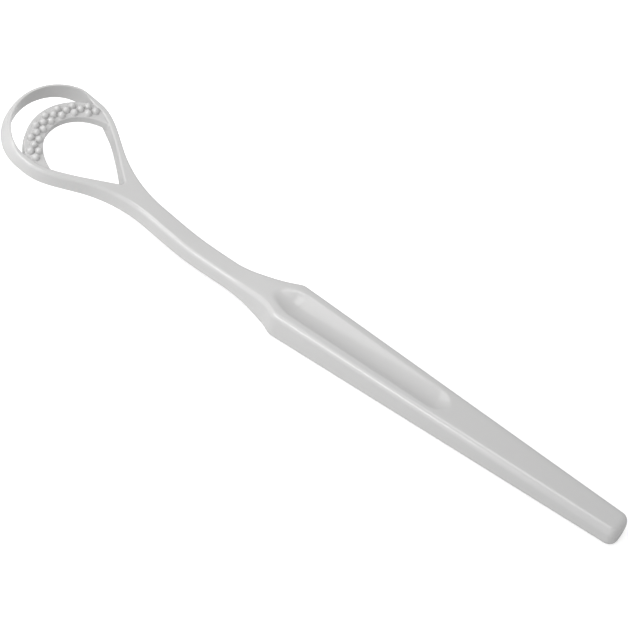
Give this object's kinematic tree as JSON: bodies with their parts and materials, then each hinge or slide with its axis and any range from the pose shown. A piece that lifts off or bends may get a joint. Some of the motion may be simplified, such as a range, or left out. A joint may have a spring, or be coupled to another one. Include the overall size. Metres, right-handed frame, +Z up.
{
  "type": "tongue scraper",
  "caption": "Moulded plastic tongue scraper: tapered handle with a thumb hollow, slender raised neck and a teardrop loop with a scraping blade and a crescent bed of rounded nubs.",
  "frame": {"origin": "centre of the bounding box in plan, on the flat underside of the handle", "axes": "+X along the handle, from the scraping head towards the end of the handle; +Y across; +Z up, towards the side with the thumb hollow and the nubs"},
  "size_m": [0.1802, 0.0298, 0.0184],
  "materials": {
    "handle_plastic": "satin gloss, light grey moulded plastic",
    "neck_plastic": "satin gloss, light grey moulded plastic",
    "fork_plastic": "satin gloss, light grey moulded plastic",
    "arm_plastic": "satin gloss, light grey moulded plastic",
    "blade_plastic": "satin gloss, light grey moulded plastic",
    "bed_plastic": "satin gloss, light grey moulded plastic",
    "nub_plastic": "satin gloss, light grey moulded plastic"
  },
  "bodies": {
    "root": {"handle": "handle_plastic", "neck": "neck_plastic", "fork": "fork_plastic", "left_arm": "arm_plastic", "right_arm": "arm_plastic", "scraper_blade": "blade_plastic", "nub_bed": "bed_plastic", "nubs": "nub_plastic"}
  },
  "joints": []
}
